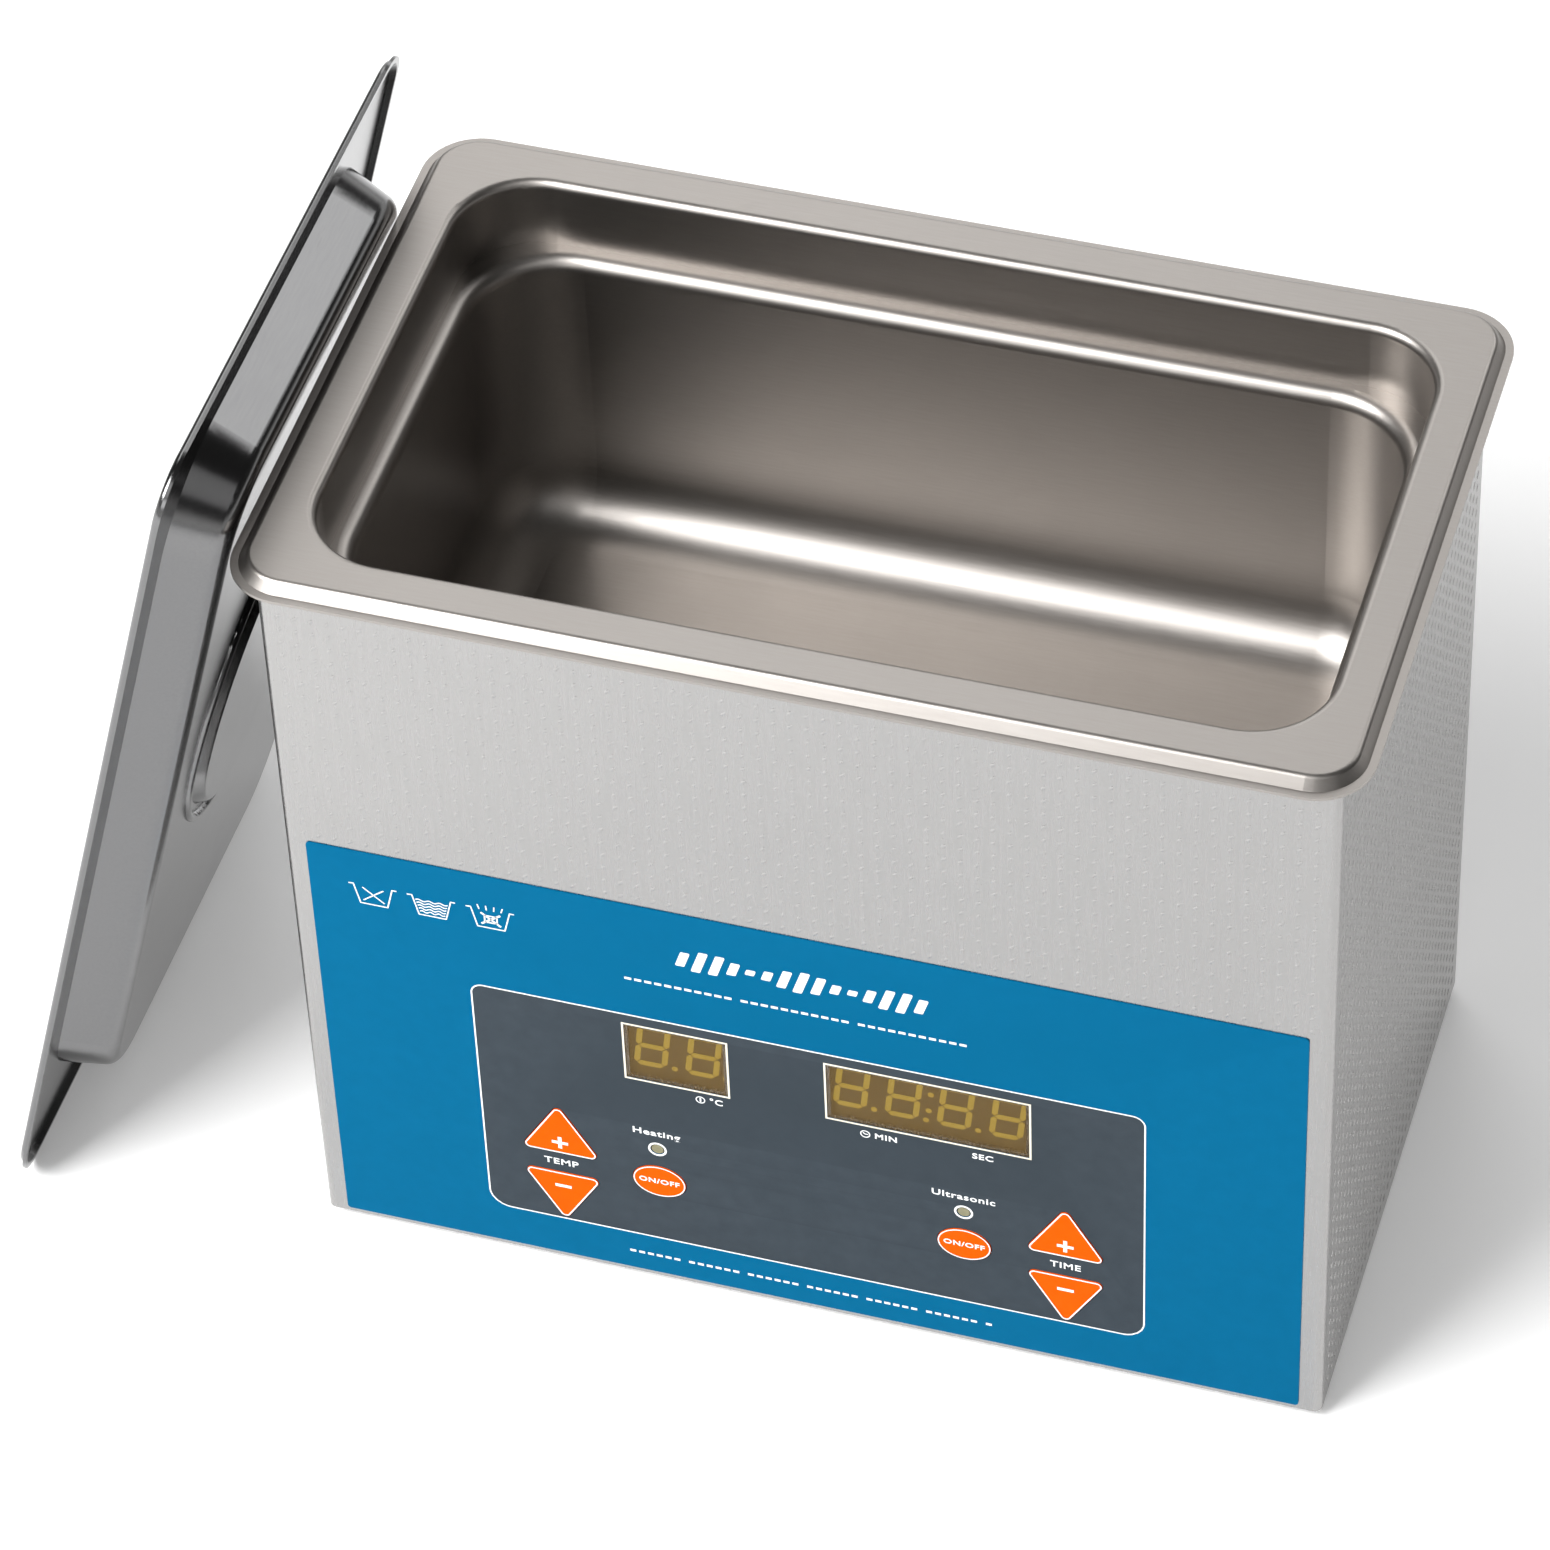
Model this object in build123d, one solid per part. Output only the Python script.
"""Bench-top heated ultrasonic cleaner with a loose lid leaning on its left end.

Millimetres, +Z up, X to the right, the front faces -Y. Everything is drawn about the middle
of the housing's footprint. The last lines move it all together, so that the origin is on the
bench at the middle of the whole outline, leaning lid included. Each sub-component is one STEP
file.
"""

import math
import os

from build123d import *

# ---- driving dimensions -------------------------------------------------------------
rim_w = 265.0           # rim outline, quarter-size gastronorm
rim_d = 162.0
rim_corner = 14.0
overhang_x = 6.5        # rim past the housing, at each end
overhang_y = 8.0        # rim past the housing, front and back
land_x = 14.3           # rim, from its outline in to the tank's opening
land_y = 14.8
body_corner = 2.2       # outside radius of the housing's folded corners
sheet = 0.8             # housing and tank sheet
foot_h = 3.0            # the housing's underside stands this high
lip_z = 223.0           # top of the rim's flat outer lip
lip_flat = 1.9          # flat outer lip
bevel_w = 2.2           # sloping step between the lip and the rim's top
bevel_h = 2.8
band_corner = 19.0
band_h = 19.0           # depth of the upper band below the rim's top
ledge_w = 4.9           # step between the upper band and the lower basin
ledge_edge = 3.8        # rounding from the step down into the basin
basin_corner = 22.0
basin_floor_r = 16.0
floor_z = 126.2         # inside of the tank's floor: room for the transducers below it
panel_side = 5.5        # housing showing beside the printed front
panel_h = 131.6
panel_bottom = 1.4      # above the housing's underside
panel_t = 0.3

# ---- clearances ---------------------------------------------------------------------
free = 0.3              # round pieces on different bodies
key_gap = 0.25          # around a membrane key
hole_gap = 0.2          # around a screw's shank
lean_gap = 0.15         # between the leaning lid and the rim's lip

# ---- sizes that follow --------------------------------------------------------------
body_w = rim_w - 2 * overhang_x         # housing, left to right
body_d = rim_d - 2 * overhang_y         # housing, front to back
band_half_x = rim_w / 2 - land_x        # inside of the tank's upper band
band_half_y = rim_d / 2 - land_y
panel_w = body_w - 2 * panel_side
rim_top = lip_z + bevel_h
flange_z = rim_top - sheet - 0.5        # top of the housing, under the gasket
ledge_z = rim_top - band_h
front_y = -body_d / 2
back_y = body_d / 2
panel_y = front_y - panel_t
base_top = foot_h + sheet + 1.0         # upper face of the bottom plate

os.makedirs("parts", exist_ok=True)
made = {}


def save(name, shape):
    """Keep one sub-component, to be written at the end."""
    made[name] = shape
    return shape


def box(x0, x1, y0, y1, z0, z1):
    """Box between two corners."""
    centre = Pos((x0 + x1) / 2, (y0 + y1) / 2, (z0 + z1) / 2)
    return centre * Box(x1 - x0, y1 - y0, z1 - z0)


def slab(w, d, r, z0, z1):
    """Upright block with a rounded rectangle outline, centred on the Z axis."""
    return Pos(0, 0, z0) * extrude(RectangleRounded(w, d, r), amount=z1 - z0)


def cone_slab(w, d, r, z0, z1, inset):
    """As slab, with sides that lean in by inset at z1."""
    height = z1 - z0
    lean = math.degrees(math.atan(inset / abs(height)))
    face = RectangleRounded(w, d, r)
    return Pos(0, 0, z0) * extrude(face, amount=height, taper=lean)


def rod_z(x, y, z0, z1, r):
    """Upright cylinder."""
    return Pos(x, y, (z0 + z1) / 2) * Cylinder(r, z1 - z0)


def rod_y(x, z, y0, y1, r):
    """Cylinder along Y."""
    return Pos(x, (y0 + y1) / 2, z) * Rot(90, 0, 0) * Cylinder(r, abs(y1 - y0))


def rod_x(y, z, x0, x1, r):
    """Cylinder along X."""
    return Pos((x0 + x1) / 2, y, z) * Rot(0, 90, 0) * Cylinder(r, abs(x1 - x0))


def face_block(sketch, x, z, y0, y1):
    """Flat shape drawn in X and Z, extruded from y0 back to y1."""
    placed = Pos(x, y0, z) * Rot(90, 0, 0) * sketch
    return extrude(placed, amount=abs(y1 - y0), dir=(0, 1, 0))


def edges_at(shape, z, half_x=None, half_y=None, tol=0.05):
    """Level edges at height z whose far points lie on the given outline."""
    picked = []
    for edge in shape.edges():
        spread = edge.bounding_box()
        if abs(spread.min.Z - z) > tol or abs(spread.max.Z - z) > tol:
            continue
        reach_x = max(abs(spread.min.X), abs(spread.max.X))
        reach_y = max(abs(spread.min.Y), abs(spread.max.Y))
        if half_x is not None and reach_x > half_x + tol:
            continue
        if half_y is not None and reach_y > half_y + tol:
            continue
        if half_x is not None and reach_x < half_x - tol and reach_y < half_y - tol:
            continue
        picked.append(edge)
    return picked


# ---- housing ------------------------------------------------------------------------
window_h = 18.85
window_z = 81.65 + foot_h
windows = {"temp": (-32.1, 25.3), "time": (29.7, 49.5)}
window_seat = 0.9       # how far a window laps over the sheet
lamp_z = 47.75 + foot_h
lamp_x = {"heating": -38.2, "ultrasonic": 38.0}
lamp_r = 1.5
oval_z = 36.05 + foot_h
oval_a = 6.6
oval_b = 5.3
tri_side = 20.0
tri_round = 1.35
tri_x = 63.0
tri_up_z = 39.2 + foot_h        # base of the upper triangles
tri_down_z = 31.85 + foot_h     # base of the lower triangles
tri_rise = tri_side * math.sqrt(3) / 2


def triangle(grow, down=False):
    """Rounded triangle standing on its base's centre, grown all round."""
    half = tri_side / 2 + grow * math.sqrt(3)
    low = -grow
    high = tri_rise + 2 * grow
    points = [(-half, low), (half, low), (0, high)]
    if down:
        points = [(x, -y) for x, y in points]
    outline = Polygon(*points, align=None)
    return fillet(outline.vertices(), tri_round + grow)


def oval(grow):
    """Ellipse grown all round."""
    return Ellipse(oval_a + grow, oval_b + grow)


keys = {
    "temp_up": (lambda g: triangle(g), -tri_x, tri_up_z, 5.8),
    "temp_down": (lambda g: triangle(g, True), -tri_x, tri_down_z, -5.8),
    "time_up": (lambda g: triangle(g), tri_x, tri_up_z, 5.8),
    "time_down": (lambda g: triangle(g, True), tri_x, tri_down_z, -5.8),
    "heating_key": (oval, lamp_x["heating"], oval_z, 0.0),
    "ultrasonic_key": (oval, lamp_x["ultrasonic"], oval_z, 0.0),
}

foot_in = 8.5           # feet, in from the housing's sides
screw_in = 7.0          # bottom plate's screws, in from the housing's sides
flange_in = 14.0        # width of the housing's bottom flange
foot_xy = [(sx * (body_w / 2 - foot_in), sy * (body_d / 2 - foot_in))
           for sx in (-1, 1) for sy in (-1, 1)]
plate_screw_xy = [(sx * 60.0, sy * (body_d / 2 - screw_in)) for sx in (-1, 1) for sy in (-1, 1)]
plate_screw_xy += [(screw_in - body_w / 2, 0.0), (body_w / 2 - screw_in, 0.0)]
m3 = 1.5
stud_xz = [(sx * 76.0, z) for sx in (-1, 1) for z in (foot_h + 20.0, foot_h + 93.0)]
inlet_x = 72.0
inlet_z = 42.0
switch_x = 18.0
switch_z = 42.0

inner_w = body_w - 2 * sheet
inner_d = body_d - 2 * sheet
gap_w = 2 * (band_half_x + sheet + free * 3)
gap_d = 2 * (band_half_y + sheet + free * 3)
shell = slab(body_w, body_d, body_corner, foot_h, flange_z)
shell -= slab(inner_w, inner_d, body_corner - sheet, foot_h + sheet, flange_z - sheet)
shell -= slab(gap_w, gap_d, band_corner + sheet, flange_z - 5, flange_z + 5)
shell -= slab(body_w - 2 * flange_in, body_d - 2 * flange_in, 4.0, foot_h - 5, foot_h + 5)
for x, width in windows.values():
    half = width / 2 - window_seat
    tall = window_h / 2 - window_seat
    shell -= box(x - half, x + half, front_y - 1, front_y + 2, window_z - tall, window_z + tall)
for x in lamp_x.values():
    shell -= rod_y(x, lamp_z, front_y - 1, front_y + 2, lamp_r + free)
for outline, x, z, _ in keys.values():
    shell -= face_block(outline(key_gap), x, z, front_y - 1, front_y + 2)
for x, y in foot_xy + plate_screw_xy:
    shell -= rod_z(x, y, foot_h - 1, foot_h + 2, m3 + hole_gap)
shell -= box(inlet_x - 14.2, inlet_x + 14.2, back_y - 2, back_y + 1, inlet_z - 10.4, inlet_z + 10.4)
for side in (-1, 1):
    shell -= rod_y(inlet_x + side * 20.0, inlet_z, back_y - 2, back_y + 1, m3 + hole_gap)
shell -= box(switch_x - 9.8, switch_x + 9.8, back_y - 2, back_y + 1, switch_z - 14.0, switch_z + 14.0)
save("housing_shell", shell)

# ---- tank ---------------------------------------------------------------------------
step_w = 2 * lip_flat
top_w = rim_w - step_w - 2 * bevel_w
top_d = rim_d - step_w - 2 * bevel_w
basin_x = band_half_x - ledge_w
basin_y = band_half_y - ledge_w
under = sheet - 0.15
tank = slab(rim_w, rim_d, rim_corner, lip_z - sheet, lip_z)
tank += cone_slab(rim_w - step_w, rim_d - step_w, rim_corner - lip_flat, lip_z - 0.01, rim_top, bevel_w)
tank -= cone_slab(rim_w - step_w - 2 * under, rim_d - step_w - 2 * under,
                  rim_corner - lip_flat - under, lip_z - sheet, rim_top - sheet, bevel_w)
tank = fillet(edges_at(tank, rim_top, top_w / 2, top_d / 2), 1.6)
tank += slab(2 * (band_half_x + sheet), 2 * (band_half_y + sheet), band_corner + sheet,
             ledge_z - sheet, rim_top - sheet / 2)
basin = slab(2 * (basin_x + sheet), 2 * (basin_y + sheet), basin_corner + sheet,
             floor_z - sheet, ledge_z)
basin = fillet(edges_at(basin, floor_z - sheet), basin_floor_r + sheet)
tank += basin
tank = fillet(edges_at(tank, ledge_z - sheet, basin_x + sheet, basin_y + sheet), ledge_edge - sheet)
hollow = slab(2 * basin_x, 2 * basin_y, basin_corner, floor_z, rim_top + 1)
hollow = fillet(edges_at(hollow, floor_z), basin_floor_r)
tank -= hollow
tank -= slab(2 * band_half_x, 2 * band_half_y, band_corner, ledge_z, rim_top + 1)
tank = fillet(edges_at(tank, rim_top, band_half_x, band_half_y), 2.2)
tank = fillet(edges_at(tank, ledge_z, basin_x, basin_y), ledge_edge)
save("tank", tank)

gasket = slab(body_w - 2.0, body_d - 2.0, body_corner, flange_z, flange_z + 0.5)
gasket -= slab(gap_w, gap_d, band_corner + sheet, flange_z - 1, flange_z + 1)
save("tank_gasket", gasket)

# ---- underside ----------------------------------------------------------------------
plate = slab(inner_w - 0.8, inner_d - 0.8, 1.0, foot_h + sheet, base_top)
for row in range(9):
    x = -80.0 + row * 20.0
    for side in (-1, 1):
        slot = Pos(x, side * 28.0, 0) * SlotOverall(34.0, 3.0, rotation=90)
        plate -= Pos(0, 0, foot_h) * extrude(slot, amount=5)
for x, y in foot_xy + plate_screw_xy:
    plate -= rod_z(x, y, foot_h, foot_h + 5, m3 + hole_gap)
save("bottom_plate", plate)


def pan_screw(x, y, head_z, tip_z):
    """Pan-head screw, head below, shank upward."""
    screw = rod_z(x, y, head_z, head_z + 1.3, 2.6)
    screw += rod_z(x, y, head_z + 1.3, tip_z, m3)
    screw -= box(x - 2.0, x + 2.0, y - 0.35, y + 0.35, head_z - 1, head_z + 0.7)
    screw -= box(x - 0.35, x + 0.35, y - 2.0, y + 2.0, head_z - 1, head_z + 0.7)
    return screw


save("plate_screws", Compound(children=[
    pan_screw(x, y, foot_h - 1.3, base_top + 3.5) for x, y in plate_screw_xy
]))

feet = []
for x, y in foot_xy:
    foot = rod_z(x, y, 0, foot_h, 6.5)
    foot = chamfer(foot.edges().filter_by(GeomType.CIRCLE).sort_by(Axis.Z)[0], 0.5)
    foot -= rod_z(x, y, -1, 2.0, 3.2)
    foot -= rod_z(x, y, -1, foot_h + 1, m3 + hole_gap)
    feet.append(foot)
save("feet", Compound(children=feet))
save("foot_screws", Compound(children=[
    pan_screw(x, y, 0.7, base_top + 4.5) for x, y in foot_xy
]))


def hex_nut(x, y, z0, z1, across, hole):
    """Hexagonal nut or standoff along Z."""
    blank = Pos(x, y, z0) * extrude(RegularPolygon(across / 2, 6, major_radius=False), amount=z1 - z0)
    return blank - rod_z(x, y, z0 - 1, z1 + 1, hole)


save("foot_nuts", Compound(children=[
    hex_nut(x, y, base_top, base_top + 2.4, 5.5, m3) for x, y in foot_xy
]))

# ---- printed front and its windows --------------------------------------------------
panel_z0 = foot_h + panel_bottom
panel_outline = RectangleRounded(panel_w, panel_h, 1.0)
panel = face_block(panel_outline, 0, panel_z0 + panel_h / 2, panel_y, front_y)
for x, width in windows.values():
    half = width / 2
    tall = window_h / 2
    panel -= box(x - half, x + half, panel_y - 1, front_y + 1, window_z - tall, window_z + tall)
for x in lamp_x.values():
    panel -= rod_y(x, lamp_z, panel_y - 1, front_y + 1, lamp_r + free)
for outline, x, z, _ in keys.values():
    panel -= face_block(outline(key_gap), x, z, panel_y - 1, front_y + 1)
save("front_overlay", panel)

glass = []
for x, width in windows.values():
    half = width / 2 - 0.1
    tall = window_h / 2 - 0.1
    glass.append(box(x - half, x + half, panel_y + 0.02, front_y, window_z - tall, window_z + tall))
save("display_windows", Compound(children=glass))

# ---- membrane keys, each pressed straight back --------------------------------------
board_y = front_y + 11.0        # front face of the control board
board_t = 1.6
key_proud = 0.25
key_travel = 0.45
key_rim = 0.9
plunger_y = board_y - 4.0
for name, (outline, x, z, centre) in keys.items():
    pad = face_block(outline(0), x, z, panel_y - key_proud, front_y + sheet + 0.25)
    pad += face_block(outline(key_rim), x, z, front_y + sheet + 0.2, front_y + sheet + 1.0)
    pad += rod_y(x, z + centre, front_y + sheet + 0.9, plunger_y - key_travel - 0.1, 2.0)
    save(name, pad)

switches = []
for outline, x, z, centre in keys.values():
    body = box(x - 3, x + 3, board_y - 3.5, board_y, z + centre - 3, z + centre + 3)
    body += rod_y(x, z + centre, plunger_y, board_y - 3.4, 1.7)
    switches.append(body)
save("tact_switches", Compound(children=switches))

# ---- displays -----------------------------------------------------------------------
digit_h = 14.2
digit_w = 6.8           # between the upright strokes' centres
digit_pitch = 12.7
stroke = 1.45
slant = math.tan(math.radians(6.5))
segment_t = 0.15
display_y = front_y + sheet + 0.35      # front face of a digit module
digit_z = window_z + window_h / 2 - 0.8 - digit_h / 2


def bar(x0, z0, x1, z1):
    """Six-sided display segment between two points, slanted like the digits."""
    length = math.hypot(x1 - x0, z1 - z0)
    ux = (x1 - x0) / length
    uz = (z1 - z0) / length
    gap = 0.22
    tip = stroke / 2
    shape = [(gap, 0), (gap + tip, tip), (length - gap - tip, tip), (length - gap, 0),
             (length - gap - tip, -tip), (gap + tip, -tip)]
    points = []
    for along, across in shape:
        x = x0 + ux * along - uz * across
        z = z0 + uz * along + ux * across
        points.append((x + slant * z, z))
    return Polygon(*points, align=None)


def digit(x):
    """Seven segments and a point, centred on x."""
    w = digit_w / 2
    h = (digit_h - stroke) / 2
    lines = [(-w, h, w, h), (-w, 0, w, 0), (-w, -h, w, -h), (-w, 0, -w, h), (w, 0, w, h),
             (-w, -h, -w, 0), (w, -h, w, 0)]
    solids = []
    for line in lines:
        solids.append(face_block(bar(*line), x, digit_z, display_y - segment_t, display_y))
    dot = Pos(w + 1.9, -h) * Circle(0.75)
    solids.append(face_block(dot, x, digit_z, display_y - segment_t, display_y))
    return solids


counts = {"temp": 2, "time": 4}
for name, (x, width) in windows.items():
    count = counts[name]
    depth = board_y - 2.0
    body_half = count * digit_pitch / 2
    module = box(x - body_half, x + body_half, display_y, depth, window_z - 9.5, window_z + 9.5)
    pins = 5 if count == 2 else 6
    for side in (-1, 1):
        for pin in range(pins):
            px = x + (pin - (pins - 1) / 2) * 2.54
            pz = window_z + side * 7.62
            module += box(px - 0.25, px + 0.25, depth - 0.1, board_y, pz - 0.25, pz + 0.25)
    save(f"display_{name}", module)
    cells = []
    for place in range(count):
        cells += digit(x + 0.2 + (place - (count - 1) / 2) * digit_pitch)
    if name == "time":
        for dz in (-2.9, 2.9):
            spot = Pos(slant * dz, dz) * Circle(0.75)
            cells.append(face_block(spot, x + 0.2, digit_z, display_y - segment_t, display_y))
    save(f"digits_{name}", Compound(children=cells))

for name, x in lamp_x.items():
    lamp = rod_y(x, lamp_z, panel_y, board_y - 4.0, lamp_r)
    lamp += rod_y(x, lamp_z, front_y + sheet + 0.3, front_y + sheet + 1.3, lamp_r + 0.45)
    for side in (-1, 1):
        lamp += rod_y(x + side * 0.75, lamp_z, board_y - 4.1, board_y, 0.25)
    save(f"led_{name}", lamp)

# ---- control board ------------------------------------------------------------------
board = box(-80, 80, board_y, board_y + board_t, foot_h + 16, foot_h + 97)
for x, z in stud_xz:
    board -= rod_y(x, z, board_y - 1, board_y + 3, m3 + hole_gap)
save("control_board", board)
chip_y = board_y + board_t
chips = [
    box(-12, 2, chip_y, chip_y + 2.5, foot_h + 52, foot_h + 60),
    box(20, 30, chip_y, chip_y + 2.2, foot_h + 40, foot_h + 50),
    box(-50, -26, chip_y, chip_y + 7.0, foot_h + 20, foot_h + 26),
    box(34, 52, chip_y, chip_y + 8.0, foot_h + 20, foot_h + 26),
]
for step in range(6):
    x = -30 + step * 6
    chips.append(box(x, x + 3.2, chip_y, chip_y + 0.7, foot_h + 32, foot_h + 33.6))
chips.append(rod_y(8, foot_h + 30, chip_y, chip_y + 9, 4.0))
save("board_chips", Compound(children=chips))

standoffs = []
board_screws = []
for x, z in stud_xz:
    post = face_block(RegularPolygon(2.75, 6, major_radius=False), x, z, front_y + sheet, board_y)
    post -= rod_y(x, z, board_y - 6, board_y + 1, m3)
    standoffs.append(post)
    screw = rod_y(x, z, board_y - 5, board_y + board_t, m3 - 0.02)
    head = rod_y(x, z, board_y + board_t, board_y + board_t + 1.8, 2.75)
    head -= box(x - 2, x + 2, board_y + board_t + 1.1, board_y + 5, z - 0.35, z + 0.35)
    board_screws.append(screw + head)
save("board_standoffs", Compound(children=standoffs))
save("board_screws", Compound(children=board_screws))

# ---- driver board on the bottom plate -----------------------------------------------
drive_z = base_top + 8.0
drive_top = drive_z + 1.6
drive_back = back_y - 21.0
drive_xy = [(x, y) for x in (-80.0, 44.0) for y in (-34.0, drive_back - 6.0)]
driver = box(-86, 50, -40, drive_back, drive_z, drive_top)
for x, y in drive_xy:
    driver -= rod_z(x, y, drive_z - 1, drive_top + 1, m3 + hole_gap)
save("driver_board", driver)
posts = []
caps = []
for x, y in drive_xy:
    posts.append(hex_nut(x, y, base_top, drive_z, 5.5, m3))
    cap = rod_z(x, y, drive_top, drive_top + 1.8, 2.75)
    cap += rod_z(x, y, drive_z - 5, drive_top + 0.1, m3 - 0.02)
    cap -= box(x - 2, x + 2, y - 0.35, y + 0.35, drive_top + 1.1, drive_top + 4)
    caps.append(cap)
save("driver_standoffs", Compound(children=posts))
save("driver_screws", Compound(children=caps))

core_x = -52.0
core_y = 20.0
core = box(core_x - 20, core_x + 20, core_y - 8, core_y + 8, drive_top, drive_top + 34)
for side in (-1, 1):
    mid = core_x + side * 10.5
    core -= box(mid - 4.5, mid + 4.5, core_y - 9, core_y + 9, drive_top + 7, drive_top + 27)
save("transformer_core", core)
coil = box(core_x - 14, core_x + 14, core_y - 15, core_y + 15, drive_top + 7.6, drive_top + 26.4)
coil = fillet(coil.edges().filter_by(Axis.Z), 4.0)
coil -= box(core_x - 6.3, core_x + 6.3, core_y - 8.3, core_y + 8.3, drive_top + 5, drive_top + 30)
save("transformer_coil", coil)

ring_x = -58.0
ring_y = -20.0
choke = Pos(ring_x, ring_y, drive_top + 7.0) * Torus(11.0, 6.0)
choke &= box(ring_x - 30, ring_x + 30, ring_y - 30, ring_y + 30, drive_top, drive_top + 20)
save("choke", choke)

cans = []
for step in range(3):
    x = -22.0 + step * 19.0
    can = rod_z(x, back_y - 37.0, drive_top, drive_top + 22, 8.0)
    can = fillet(can.edges().filter_by(GeomType.CIRCLE).sort_by(Axis.Z)[-1], 1.0)
    cans.append(can)
save("capacitors", Compound(children=cans))

sink_y = max(-34.0, front_y + 28.5)     # clear of the control board's parts
sink = box(-24, 38, sink_y, sink_y + 3, drive_top, drive_top + 30)
for step in range(9):
    x = -24 + step * 7.5
    sink += box(x, x + 1.8, sink_y + 2.9, sink_y + 18, drive_top, drive_top + 30)
save("heatsink", sink)
power = []
for x in (-12.0, 7.0, 26.0):
    tab = box(x - 5, x + 5, sink_y - 4.2, sink_y, drive_top + 3, drive_top + 19)
    for leg in (-1, 0, 1):
        px = x + leg * 2.54
        tab += box(px - 0.4, px + 0.4, sink_y - 3, sink_y - 2.2, drive_top, drive_top + 3.1)
    power.append(tab)
save("transistors", Compound(children=power))
save("relays", Compound(children=[
    box(x, x + 15, -6, 14, drive_top, drive_top + 16) for x in (-20.0, 2.0, 24.0)
]))

# ---- transducers bonded under the tank ----------------------------------------------
stack_x = (-52.0, 52.0)
bond_z = floor_z - sheet
fronts = []
rings = []
tabs = []
backs = []
bolts = []
for x in stack_x:
    low = bond_z - 24.0
    front = rod_z(x, 0, bond_z - 5, bond_z, 24.0)
    front += Pos(x, 0, bond_z - 14.5) * Cone(17.5, 24.0, 19.0)
    front -= rod_z(x, 0, low - 1, bond_z - 8, 5.0)
    fronts.append(front)
    for step in range(2):
        top = low - 0.3 - step * 5.5
        ring = rod_z(x, 0, top - 5.2, top, 17.5) - rod_z(x, 0, top - 6, top + 1, 6.5)
        rings.append(ring)
    for step in range(3):
        top = low - step * 5.5
        tab = rod_z(x, 0, top - 0.3, top, 17.5)
        tab += box(x - 2.5, x + 2.5, -23.0, -16.0, top - 0.3, top)
        tab -= rod_z(x, 0, top - 1, top + 1, 6.5)
        tabs.append(tab)
    mass_top = low - 11.3
    back = rod_z(x, 0, mass_top - 26, mass_top, 17.5)
    back -= rod_z(x, 0, mass_top - 30, mass_top + 1, 5.5)
    back = chamfer(back.edges().filter_by(GeomType.CIRCLE).sort_by(Axis.Z)[0:2], 0.8)
    backs.append(back)
    bolt = rod_z(x, 0, mass_top - 26, bond_z - 9, 4.98)
    bolt += Pos(x, 0, mass_top - 34) * extrude(RegularPolygon(8.0, 6, major_radius=False), amount=8.0)
    bolt -= Pos(x, 0, mass_top - 35) * extrude(RegularPolygon(4.0, 6, major_radius=False), amount=5.0)
    bolts.append(bolt)
save("front_masses", Compound(children=fronts))
save("piezo_rings", Compound(children=rings))
save("electrodes", Compound(children=tabs))
save("back_masses", Compound(children=backs))
save("stack_bolts", Compound(children=bolts))

# ---- heater and sensors on the tank's outside ---------------------------------------
wall_y = basin_y + sheet
wall_x = basin_x + sheet
wall_h = ledge_z - floor_z
pad_half = basin_x - 35.8
pads = []
for side in (-1, 1):
    near = side * wall_y
    far = side * (wall_y + 1.6)
    pads.append(box(-pad_half, pad_half, min(near, far), max(near, far),
                    floor_z + 18, floor_z + wall_h - 18))
save("heater_pads", Compound(children=pads))
cutout_z = floor_z + wall_h / 2
cutout = rod_x(0, cutout_z, wall_x, wall_x + 6, 8.0)
cutout += rod_x(0, cutout_z, wall_x, wall_x + 1.2, 10.0)
for side in (-1, 1):
    cutout += box(wall_x + 5.9, wall_x + 11, side * 4 - 2, side * 4 + 2, cutout_z - 0.4, cutout_z + 0.4)
save("thermostat", cutout)
save("temp_sensor", rod_z(0, 0, bond_z - 12, bond_z, 3.0) + rod_z(0, 0, bond_z - 3, bond_z, 6.0))

# ---- mains inlet --------------------------------------------------------------------
inlet = box(inlet_x - 25, inlet_x + 25, back_y, back_y + 3, inlet_z - 11.5, inlet_z + 11.5)
inlet = fillet(inlet.edges().filter_by(Axis.Y), 4.0)
inlet += box(inlet_x - 13.6, inlet_x + 13.6, back_y - 17, back_y + 0.5, inlet_z - 9.8, inlet_z + 9.8)
socket = box(inlet_x - 12, inlet_x + 12, back_y - 14, back_y + 4, inlet_z - 8, inlet_z + 8)
corners = socket.edges().filter_by(Axis.Y).sort_by(Axis.Z)[0:2]
socket = chamfer(corners, 4.5)
inlet -= socket
for side in (-1, 1):
    inlet -= rod_y(inlet_x + side * 20, inlet_z, back_y - 1, back_y + 4, m3 + hole_gap)
save("inlet_shell", inlet)
blades = []
for dx, dz in ((-7.0, -2.0), (7.0, -2.0), (0.0, 2.0)):
    x = inlet_x + dx
    z = inlet_z + dz
    blades.append(box(x - 1, x + 1, back_y - 14, back_y - 3.5, z - 2, z + 2))
    blades.append(box(x - 2.4, x + 2.4, back_y - 26, back_y - 17, z - 0.4, z + 0.4))
save("inlet_pins", Compound(children=blades))
inlet_screws = []
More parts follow.
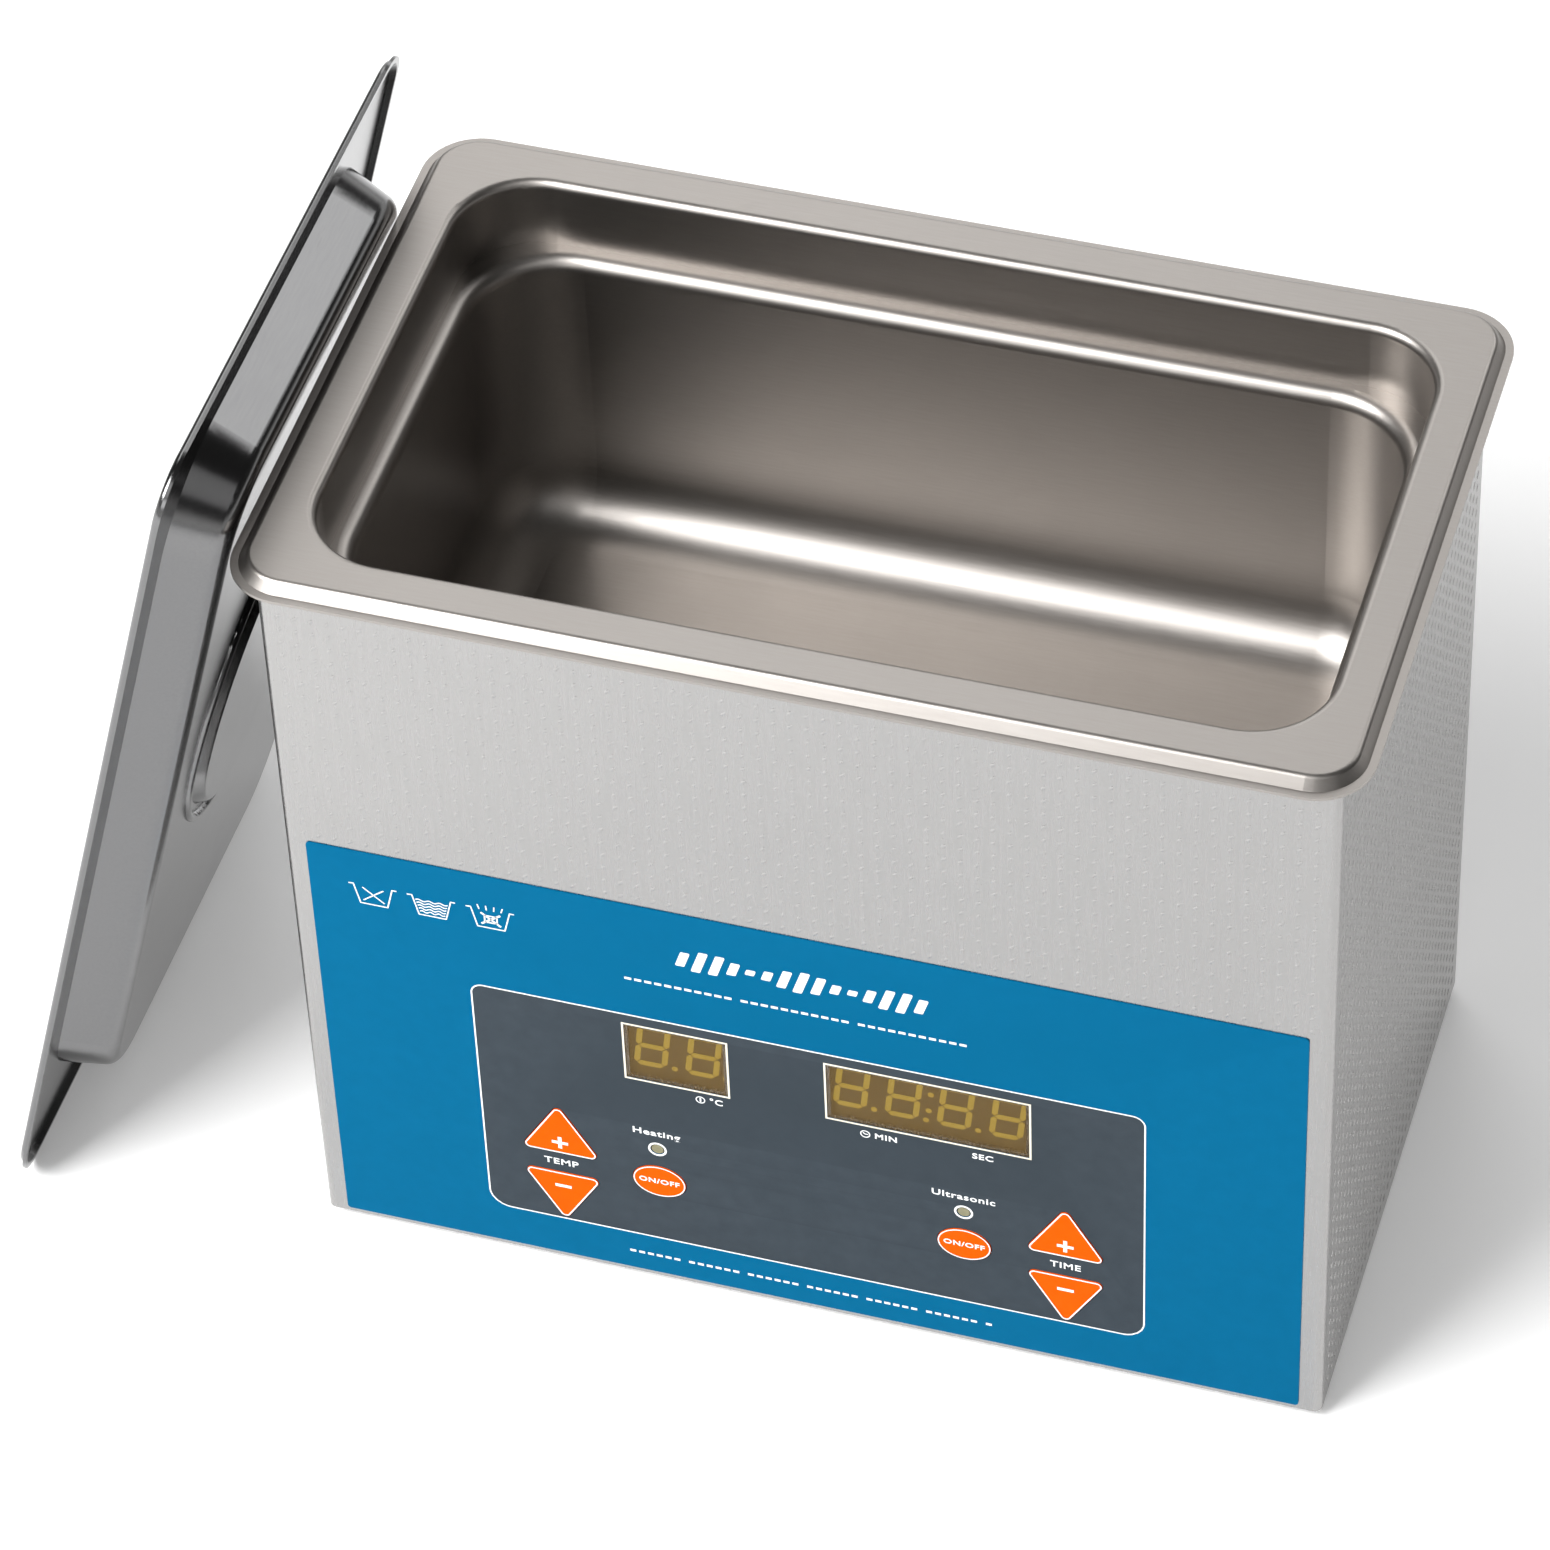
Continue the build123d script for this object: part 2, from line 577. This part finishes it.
for side in (-1, 1):
    x = inlet_x + side * 20
    screw = rod_y(x, inlet_z, back_y - 6, back_y + 3, m3)
    screw += rod_y(x, inlet_z, back_y + 3, back_y + 4.6, 2.8)
    screw -= box(x - 2, x + 2, back_y + 4.0, back_y + 6, inlet_z - 0.35, inlet_z + 0.35)
    nut = face_block(RegularPolygon(2.75, 6, major_radius=False), x, inlet_z, back_y - 3.2, back_y - sheet)
    nut -= rod_y(x, inlet_z, back_y - 5, back_y, m3 + 0.05)
    inlet_screws.append(screw)
    inlet_screws.append(nut)
save("inlet_screws", Compound(children=inlet_screws))

# ---- mains switch: the rocker turns about an X axis ---------------------------------
rock_y = back_y - 1.0
rock_tilt = 9.0
bezel = box(switch_x - 11.5, switch_x + 11.5, back_y, back_y + 2.2, switch_z - 16, switch_z + 16)
bezel = fillet(bezel.edges().filter_by(Axis.Y), 1.5)
bezel += box(switch_x - 9.4, switch_x + 9.4, back_y - 16, back_y + 0.5, switch_z - 13.6, switch_z + 13.6)
bezel -= box(switch_x - 7.2, switch_x + 7.2, back_y - 8, back_y + 3, switch_z - 11.8, switch_z + 11.8)
bezel -= rod_x(rock_y, switch_z, switch_x - 8.6, switch_x + 8.6, 1.5)
for dz in (-8, 0, 8):
    bezel += box(switch_x - 2.4, switch_x + 2.4, back_y - 25, back_y - 15.9,
                 switch_z + dz - 0.4, switch_z + dz + 0.4)
save("switch_frame", bezel)
side_view = Polygon((-10.9, 0.5), (-10.9, 3.6), (0, 1.6), (10.9, 3.6), (10.9, 0.5), (4, -4.0),
                    (-4, -4.0), align=None)
# The sketch's X runs along the object's Z and its Y along the object's Y.
side_plane = Plane(origin=(0, 0, 0), x_dir=(0, 0, 1), z_dir=(-1, 0, 0))
rocker = extrude(side_plane * side_view, amount=6.8, both=True)
rocker += rod_x(0, 0, -8.2, 8.2, 1.2)
rocker = Pos(switch_x, rock_y, switch_z) * Rot(rock_tilt, 0, 0) * rocker
save("switch_rocker", rocker)


# ---- wiring -------------------------------------------------------------------------
def lead(points, r=0.9):
    """Round lead through the given points, with rounded turns."""
    path = Polyline(*points)
    start = Plane(origin=points[0], z_dir=path % 0)
    return sweep(start * Circle(r), path=path, transition=Transition.ROUND)


lead_y = max(-39.2, front_y + 22.0)     # between the control board's parts and the heatsink
wires = []
for step, z in enumerate((bond_z - 24.2, bond_z - 29.7, bond_z - 35.2)):
    for side, x in zip((-1, 1), stack_x):
        px = x + (step - 1) * 3.0
        end = px if side < 0 else px - 12
        wires.append(lead([(px, -24.2, z), (px, -27.5, z), (end, -27.5, 60), (end, lead_y, 56),
                           (end, lead_y, drive_top + 1.0)], 0.8))
for step, z in enumerate((inlet_z - 2, inlet_z + 2)):
    back = back_y - 27.5
    wires.append(lead([(inlet_x - 4 + step * 8, back, z), (inlet_x - 4 + step * 8, back - 4, z),
                       (switch_x - 4 + step * 8, back - 4, z), (switch_x - 4 + step * 8, back + 1, z)], 1.0))
wires.append(box(-44, -32, board_y + board_t + 7.0, board_y + board_t + 8.0, foot_h + 14, foot_h + 25))
save("wiring", Compound(children=wires))

# ---- lid, drawn flat first: +Z is its outside, +X runs from its foot to its top --------
lid_lip = 0.9           # flat outer lip
skirt_h = 2.2           # lip to the flange's outer face
skirt_in = 0.8
plug_half_x = rim_w / 2 - 17.0
plug_half_y = rim_d / 2 - 17.0
plug_draft = 4.2
plug_drop = 12.4        # plug's face below the lip
plug_corner = 24.0
plug_edge = 4.2         # rounding of the plug's foot
dish_r = 41.0
dish_foot = 39.0
dish_drop = 2.6
bead_r = 44.4           # ring pressed into the plug's face around the dish
bead_half = 1.2

rise = skirt_h - 0.01
lid = slab(rim_w, rim_d, rim_corner, 0, sheet)
lid += cone_slab(rim_w - 2 * lid_lip, rim_d - 2 * lid_lip, rim_corner - lid_lip, 0, skirt_h, skirt_in)
lid = fillet(edges_at(lid, skirt_h), 1.3)
inner = lid_lip + sheet
lid -= cone_slab(rim_w - 2 * inner, rim_d - 2 * inner, rim_corner - inner, 0, skirt_h - sheet, skirt_in)
plug = cone_slab(2 * plug_half_x, 2 * plug_half_y, plug_corner, skirt_h - sheet / 2, -plug_drop, plug_draft)
plug = fillet(edges_at(plug, -plug_drop), plug_edge)
disc = Pos(0, 0, -plug_drop - dish_drop / 2) * Rot(180, 0, 0) * Cone(dish_r, dish_foot, dish_drop)
disc = fillet(disc.edges().sort_by(Axis.Z)[0], 1.0)
plug += disc
plug += Pos(0, 0, -plug_drop) * Torus(bead_r, bead_half)
lid += plug
well = cone_slab(2 * (plug_half_x - sheet), 2 * (plug_half_y - sheet), plug_corner - sheet,
                 skirt_h + 0.4, -plug_drop + sheet, plug_draft)
well = fillet(edges_at(well, -plug_drop + sheet), plug_edge - sheet)
bowl = Pos(0, 0, -plug_drop - dish_drop / 2 + sheet) * Rot(180, 0, 0)
bowl *= Cone(dish_r - sheet, dish_foot - sheet, dish_drop)
lid -= well
lid -= bowl
lid -= Pos(0, 0, -plug_drop + sheet / 2) * Cylinder(dish_r - sheet, sheet + 0.02)

strap_foot = -plug_drop + sheet
strap_top = 2.6
outline = [(46, 0), (60, 0), (60, 2), (48.0, 2), (40.0, strap_top - strap_foot),
           (-40.0, strap_top - strap_foot), (-48.0, 2), (-60, 2), (-60, 0), (-46, 0),
           (-38.6, strap_top - strap_foot - 2.0), (38.6, strap_top - strap_foot - 2.0)]
strap = extrude(Plane.XZ * Polygon(*outline, align=None), amount=9.0, both=True)
strap = Pos(0, 0, strap_foot) * strap

lid_lean = 14.16        # from upright
lid_turn = -0.6         # about the vertical
lid_foot_y = -5.0
lean = math.radians(lid_lean)
turn = math.radians(lid_turn)
# The plug's face, at plug_drop from the lip's plane, rests beside the lower edge of the rim's lip.
reach = (rim_d / 2 - rim_corner) + abs(lid_foot_y)
needed = plug_drop + lean_gap + reach * abs(math.sin(turn)) * math.cos(lean)
needed += (lip_z - sheet) * math.sin(lean)
lid_foot_x = -rim_w / 2 - needed / (math.cos(lean) * math.cos(turn))
place = Pos(lid_foot_x, lid_foot_y, 0) * Rot(0, 0, lid_turn) * Rot(0, lid_lean - 90, 0) * Pos(rim_w / 2, 0, 0)
save("lid_pan", place * lid)
save("lid_handle", place * strap)

# ---- one move for all, so that the origin is under the middle of the whole outline ----
spread = made["lid_pan"].bounding_box()
middle_x = round((spread.min.X + rim_w / 2) / 2, 1)
middle_y = round((spread.min.Y + rim_d / 2) / 2, 1)
move = Pos(-middle_x, -middle_y, 0)
for name, shape in made.items():
    solids = [move * solid for solid in shape.solids()]
    moved = solids[0] if len(solids) == 1 else Compound(children=solids)
    moved.label = name
    export_step(moved, f"parts/{name}.step")

print(len(made), "sub-components; housing's centre at", -middle_x, -middle_y)
print("rim top", rim_top, "floor", floor_z, "lid foot x", round(lid_foot_x, 3))
